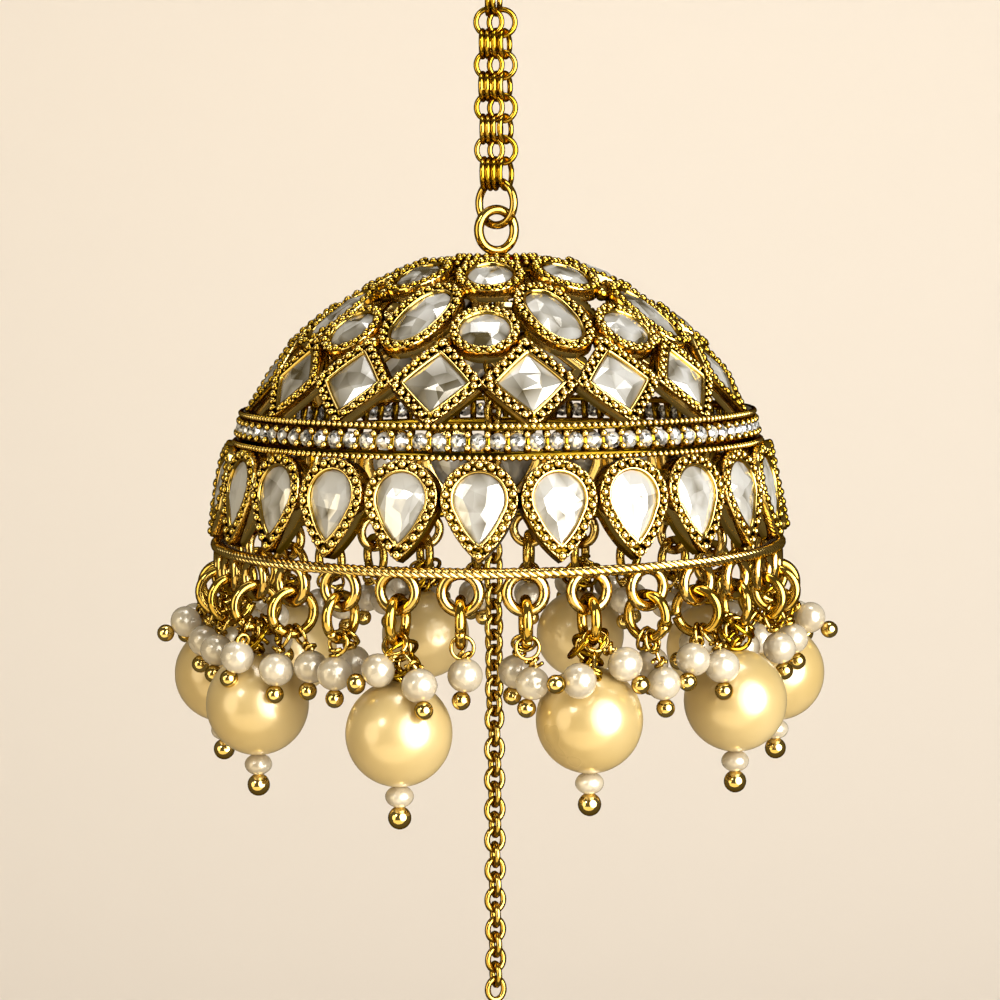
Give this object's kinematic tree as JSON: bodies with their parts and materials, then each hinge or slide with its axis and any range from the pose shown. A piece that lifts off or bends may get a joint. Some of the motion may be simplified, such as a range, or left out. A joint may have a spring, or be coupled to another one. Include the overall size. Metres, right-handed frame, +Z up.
{
  "type": "kalira",
  "caption": "Bridal wrist ornament: an openwork stone-set dome hung from a short chain, with pearl drops round its rim and a finer chain hanging down through it.",
  "frame": {"origin": "where the hang ring rests on the cord or bangle that carries it: the highest inner point of the ring", "axes": "+Z up along the chain, -Y towards the front setting of the dome, +X to the right seen from the front"},
  "size_m": [0.0707, 0.0695, 0.1103],
  "materials": {
    "antique_gold": "antiqued gold-plated brass, dark in the recesses",
    "pale_gold": "bright pale gold-plated wire",
    "kundan_stone": "foil-backed clear faceted glass",
    "white_pearl": "small white imitation pearl, soft lustre",
    "champagne_pearl": "large cream champagne imitation pearl, soft lustre"
  },
  "bodies": {
    "root": {"hang_ring": "antique_gold", "upper_chain": "antique_gold", "connector_ring": "antique_gold"},
    "dome": {"dome": "antique_gold", "lower_chain": "antique_gold", "drop_ring_00": "white_pearl", "drop_ring_01": "white_pearl", "drop_ring_02": "white_pearl", "drop_ring_03": "white_pearl", "drop_ring_04": "white_pearl", "drop_ring_05": "white_pearl", "drop_ring_06": "white_pearl", "drop_ring_07": "white_pearl", "drop_ring_08": "white_pearl", "drop_ring_09": "white_pearl", "drop_ring_10": "white_pearl", "drop_ring_11": "white_pearl", "drop_ring_12": "white_pearl", "drop_ring_13": "white_pearl", "drop_ring_14": "white_pearl", "drop_ring_15": "white_pearl", "drop_ring_16": "white_pearl", "drop_ring_17": "white_pearl", "drop_ring_18": "white_pearl", "drop_ring_19": "white_pearl", "drop_ring_20": "white_pearl", "drop_ring_21": "white_pearl", "drop_ring_22": "white_pearl", "drop_ring_23": "white_pearl", "drop_ring_24": "white_pearl", "drop_ring_25": "white_pearl", "drop_ring_26": "white_pearl", "drop_ring_27": "white_pearl", "drop_ring_28": "white_pearl", "drop_ring_29": "white_pearl", "big_pearl_01": "champagne_pearl", "big_pearl_04": "champagne_pearl", "big_pearl_07": "champagne_pearl", "big_pearl_10": "champagne_pearl", "big_pearl_13": "champagne_pearl", "big_pearl_16": "champagne_pearl", "big_pearl_19": "champagne_pearl", "big_pearl_22": "champagne_pearl", "big_pearl_25": "champagne_pearl", "big_pearl_28": "champagne_pearl", "big_pearl_pin_01": "pale_gold", "big_pearl_pin_04": "pale_gold", "big_pearl_pin_07": "pale_gold", "big_pearl_pin_10": "pale_gold", "big_pearl_pin_13": "pale_gold", "big_pearl_pin_16": "pale_gold", "big_pearl_pin_19": "pale_gold", "big_pearl_pin_22": "pale_gold", "big_pearl_pin_25": "pale_gold", "big_pearl_pin_28": "pale_gold"}
  },
  "joints": [
    {"name": "dome_swing", "type": "hinge", "parent": "root", "child": "dome", "pos_m": [0, 0, -0.02765], "axis": [0.788, -0.6157, 0], "range_deg": [-30, 30]}
  ]
}
